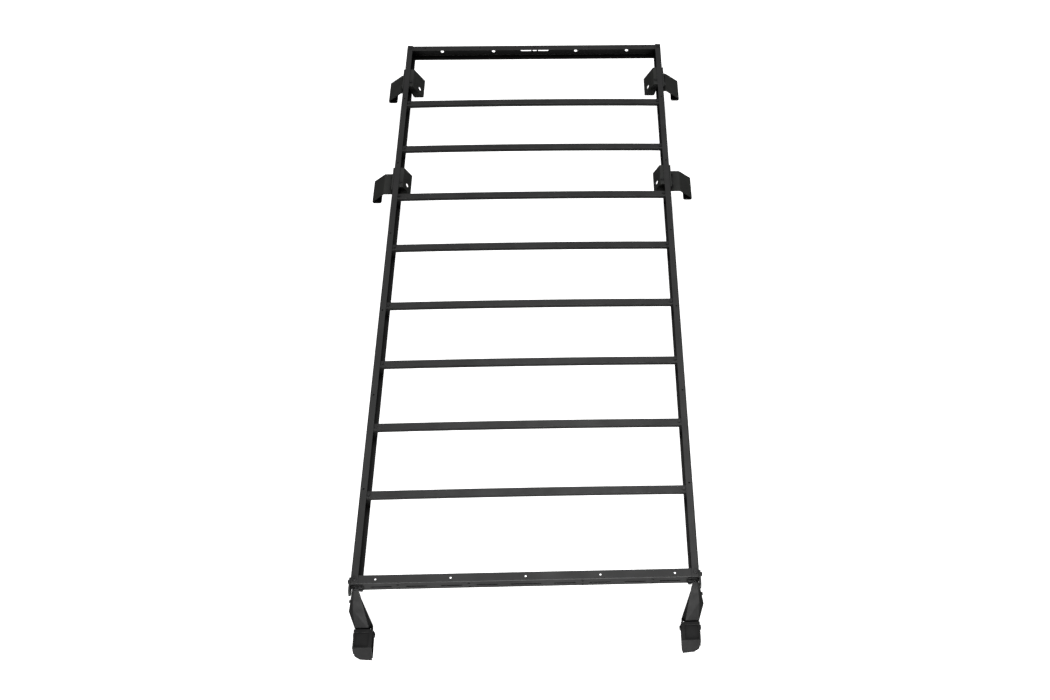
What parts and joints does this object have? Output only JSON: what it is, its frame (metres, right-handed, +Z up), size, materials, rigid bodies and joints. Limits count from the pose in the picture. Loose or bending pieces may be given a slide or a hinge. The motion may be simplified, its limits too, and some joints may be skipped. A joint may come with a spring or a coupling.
{
  "type": "ladder rack",
  "caption": "Low rectangular rack frame of folded channels with cross slats, clamp brackets along both sides and two angled front legs with tilting feet.",
  "frame": {"origin": "middle of the footprint at the height of the lowest toe", "axes": "+X across the vehicle to the right side, +Y along the vehicle to the rear, +Z up"},
  "size_m": [1.374, 2.8476, 0.2176],
  "materials": {
    "frame_black": "satin black powder coat",
    "bracket_black": "satin black powder coat",
    "leg_black": "satin black powder coat",
    "slat_black": "satin black powder coat",
    "bolt_black": "satin black powder coat",
    "nut_black": "satin black powder coat"
  },
  "bodies": {
    "rack": {"left_rail": "frame_black", "right_rail": "frame_black", "front_crossmember": "frame_black", "rear_crossmember": "frame_black", "slat_1": "slat_black", "slat_2": "slat_black", "slat_3": "slat_black", "slat_4": "slat_black", "slat_5": "slat_black", "slat_6": "slat_black", "slat_7": "slat_black", "slat_8": "slat_black", "left_slat_clips": "slat_black", "right_slat_clips": "slat_black", "mid_left_arm": "bracket_black", "mid_left_brace": "bracket_black", "mid_left_gusset": "bracket_black", "mid_right_arm": "bracket_black", "mid_right_brace": "bracket_black", "mid_right_gusset": "bracket_black", "rear_left_arm": "bracket_black", "rear_left_brace": "bracket_black", "rear_left_gusset": "bracket_black", "rear_right_arm": "bracket_black", "rear_right_brace": "bracket_black", "rear_right_gusset": "bracket_black", "left_ear_plate": "bracket_black", "right_ear_plate": "bracket_black", "left_leg": "leg_black", "right_leg": "leg_black", "corner_bolts": "bolt_black", "slat_bolts": "bolt_black", "arm_bolts": "bolt_black", "brace_bolts": "bolt_black", "ear_bolts": "bolt_black", "leg_face_bolts": "bolt_black", "leg_edge_bolts": "bolt_black", "foot_pivot_bolts": "bolt_black", "corner_nuts": "nut_black", "slat_nuts": "nut_black", "arm_nuts": "nut_black", "brace_nuts": "nut_black", "ear_nuts": "nut_black", "leg_face_nuts": "nut_black", "leg_edge_nuts": "nut_black", "foot_pivot_nuts": "nut_black"},
    "left_foot_body": {"left_foot": "leg_black"},
    "right_foot_body": {"right_foot": "leg_black"}
  },
  "joints": [
    {"name": "left_foot_tilt", "type": "hinge", "parent": "rack", "child": "left_foot_body", "pos_m": [-0.5645, -1.34224, 0.027], "axis": [1, 0, 0], "range_deg": [-8, 20]},
    {"name": "right_foot_tilt", "type": "hinge", "parent": "rack", "child": "right_foot_body", "pos_m": [0.5645, -1.34224, 0.027], "axis": [1, 0, 0], "range_deg": [-8, 20]}
  ]
}
